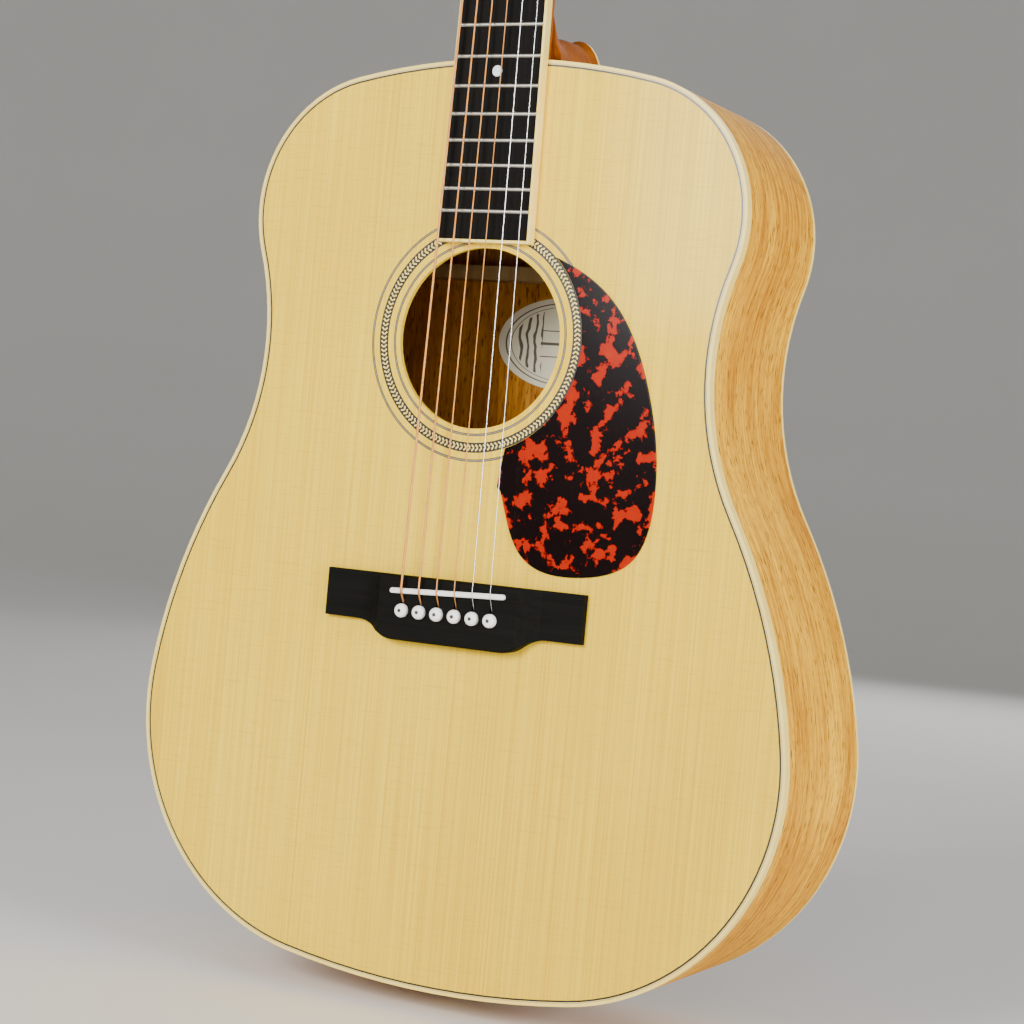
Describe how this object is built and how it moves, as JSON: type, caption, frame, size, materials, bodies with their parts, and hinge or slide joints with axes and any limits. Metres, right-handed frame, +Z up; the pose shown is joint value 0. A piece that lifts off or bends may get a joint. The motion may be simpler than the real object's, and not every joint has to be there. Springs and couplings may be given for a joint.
{
  "type": "acoustic guitar",
  "caption": "Steel-string dreadnought acoustic guitar with hollow body, bolt-on neck, pinned bridge and geared tuning machines.",
  "frame": {"origin": "seat of the strap button, in the middle of the tail end", "axes": "+Z up along the neck, +X to the treble side, +Y to the back; the soundboard faces -Y"},
  "size_m": [0.399, 0.1371, 1.0537],
  "materials": {
    "spruce": "gloss lacquer over straight-grained spruce",
    "body_wood": "gloss lacquer over golden-brown mahogany",
    "neck_wood": "satin lacquer over orange-brown mahogany",
    "brace_wood": "bare sanded spruce",
    "ebony": "oiled ebony",
    "binding": "cream maple under gloss lacquer",
    "purfling": "black and white lines",
    "rosette": "black and white rope lines",
    "tortoise": "polished red and black tortoise pattern",
    "bone": "polished bone",
    "pearl": "pearl",
    "fret_metal": "polished nickel silver",
    "bronze": "wound bronze",
    "plain_steel": "drawn steel wire",
    "chrome": "chrome plate",
    "rod_steel": "plain steel",
    "label": "printed cream paper",
    "button": "polished black"
  },
  "bodies": {
    "root": {"soundboard": "spruce", "back": "body_wood", "side_bass": "body_wood", "side_treble": "body_wood", "tail_wedge": "binding", "top_binding": "binding", "top_purfling": "purfling", "back_binding": "binding", "neck_block": "neck_wood", "tail_block": "neck_wood", "top_lining": "brace_wood", "back_lining": "brace_wood", "x_braces": "brace_wood", "top_braces": "brace_wood", "bridge_plate": "binding", "back_braces": "brace_wood", "label": "label", "rosette": "rosette", "pickguard": "tortoise", "strap_button": "button", "neck_bolts": "rod_steel", "neck": "neck_wood", "heel_cap": "ebony", "headstock_veneer": "ebony", "fretboard": "ebony", "fretboard_binding": "binding", "frets": "fret_metal", "fret_dots": "pearl", "nut": "bone", "truss_rod": "rod_steel", "bridge": "ebony", "saddle": "bone", "tuner_housings": "chrome", "tuner_bushings": "chrome", "tuner_screws": "chrome", "string_1": "plain_steel", "string_2": "plain_steel", "string_3": "bronze", "string_4": "bronze", "string_5": "bronze", "string_6": "bronze"},
    "bridge_pin_6": {"bridge_pin_6": "bone"},
    "tuner_post_6": {"tuner_post_6": "chrome"},
    "tuner_knob_6": {"tuner_knob_6": "chrome"},
    "bridge_pin_5": {"bridge_pin_5": "bone"},
    "tuner_post_5": {"tuner_post_5": "chrome"},
    "tuner_knob_5": {"tuner_knob_5": "chrome"},
    "bridge_pin_4": {"bridge_pin_4": "bone"},
    "tuner_post_4": {"tuner_post_4": "chrome"},
    "tuner_knob_4": {"tuner_knob_4": "chrome"},
    "bridge_pin_3": {"bridge_pin_3": "bone"},
    "tuner_post_3": {"tuner_post_3": "chrome"},
    "tuner_knob_3": {"tuner_knob_3": "chrome"},
    "bridge_pin_2": {"bridge_pin_2": "bone"},
    "tuner_post_2": {"tuner_post_2": "chrome"},
    "tuner_knob_2": {"tuner_knob_2": "chrome"},
    "bridge_pin_1": {"bridge_pin_1": "bone"},
    "tuner_post_1": {"tuner_post_1": "chrome"},
    "tuner_knob_1": {"tuner_knob_1": "chrome"},
    "truss_rod_nut": {"truss_rod_nut": "rod_steel"}
  },
  "joints": [
    {"name": "pin_6_pull", "type": "slide", "parent": "root", "child": "bridge_pin_6", "axis": [0, -1, 0], "range_m": [0, 0.03]},
    {"name": "knob_6_turn", "type": "hinge", "parent": "root", "child": "tuner_knob_6", "pos_m": [-0.034, -0.03275, 0.90771], "axis": [1, 0, 0], "continuous": true},
    {"name": "post_6_turn", "type": "hinge", "parent": "root", "child": "tuner_post_6", "pos_m": [-0.024, -0.05474, 0.90629], "axis": [0, -0.9703, 0.2419], "continuous": true},
    {"name": "pin_5_pull", "type": "slide", "parent": "root", "child": "bridge_pin_5", "axis": [0, -1, 0], "range_m": [0, 0.03]},
    {"name": "knob_5_turn", "type": "hinge", "parent": "root", "child": "tuner_knob_5", "pos_m": [-0.034, -0.02307, 0.94652], "axis": [1, 0, 0], "continuous": true},
    {"name": "post_5_turn", "type": "hinge", "parent": "root", "child": "tuner_post_5", "pos_m": [-0.024, -0.04507, 0.9451], "axis": [0, -0.9703, 0.2419], "continuous": true},
    {"name": "pin_4_pull", "type": "slide", "parent": "root", "child": "bridge_pin_4", "axis": [0, -1, 0], "range_m": [0, 0.03]},
    {"name": "knob_4_turn", "type": "hinge", "parent": "root", "child": "tuner_knob_4", "pos_m": [-0.034, -0.01339, 0.98534], "axis": [1, 0, 0], "continuous": true},
    {"name": "post_4_turn", "type": "hinge", "parent": "root", "child": "tuner_post_4", "pos_m": [-0.024, -0.03539, 0.98391], "axis": [0, -0.9703, 0.2419], "continuous": true},
    {"name": "pin_3_pull", "type": "slide", "parent": "root", "child": "bridge_pin_3", "axis": [0, -1, 0], "range_m": [0, 0.03]},
    {"name": "knob_3_turn", "type": "hinge", "parent": "root", "child": "tuner_knob_3", "pos_m": [0.034, -0.01339, 0.98534], "axis": [1, 0, 0], "continuous": true},
    {"name": "post_3_turn", "type": "hinge", "parent": "root", "child": "tuner_post_3", "pos_m": [0.024, -0.03539, 0.98391], "axis": [0, -0.9703, 0.2419], "continuous": true},
    {"name": "pin_2_pull", "type": "slide", "parent": "root", "child": "bridge_pin_2", "axis": [0, -1, 0], "range_m": [0, 0.03]},
    {"name": "knob_2_turn", "type": "hinge", "parent": "root", "child": "tuner_knob_2", "pos_m": [0.034, -0.02307, 0.94652], "axis": [1, 0, 0], "continuous": true},
    {"name": "post_2_turn", "type": "hinge", "parent": "root", "child": "tuner_post_2", "pos_m": [0.024, -0.04507, 0.9451], "axis": [0, -0.9703, 0.2419], "continuous": true},
    {"name": "pin_1_pull", "type": "slide", "parent": "root", "child": "bridge_pin_1", "axis": [0, -1, 0], "range_m": [0, 0.03]},
    {"name": "knob_1_turn", "type": "hinge", "parent": "root", "child": "tuner_knob_1", "pos_m": [0.034, -0.03275, 0.90771], "axis": [1, 0, 0], "continuous": true},
    {"name": "post_1_turn", "type": "hinge", "parent": "root", "child": "tuner_post_1", "pos_m": [0.024, -0.05474, 0.90629], "axis": [0, -0.9703, 0.2419], "continuous": true},
    {"name": "truss_nut_turn", "type": "hinge", "parent": "root", "child": "truss_rod_nut", "pos_m": [0, -0.0527, 0.4455], "axis": [0, 0, 1], "range_deg": [-180, 180]}
  ],
  "couplings": [
    {"joint": "post_6_turn", "follows": "knob_6_turn", "ratio": -0.071429},
    {"joint": "post_5_turn", "follows": "knob_5_turn", "ratio": -0.071429},
    {"joint": "post_4_turn", "follows": "knob_4_turn", "ratio": -0.071429},
    {"joint": "post_3_turn", "follows": "knob_3_turn", "ratio": 0.071429},
    {"joint": "post_2_turn", "follows": "knob_2_turn", "ratio": 0.071429},
    {"joint": "post_1_turn", "follows": "knob_1_turn", "ratio": 0.071429}
  ]
}
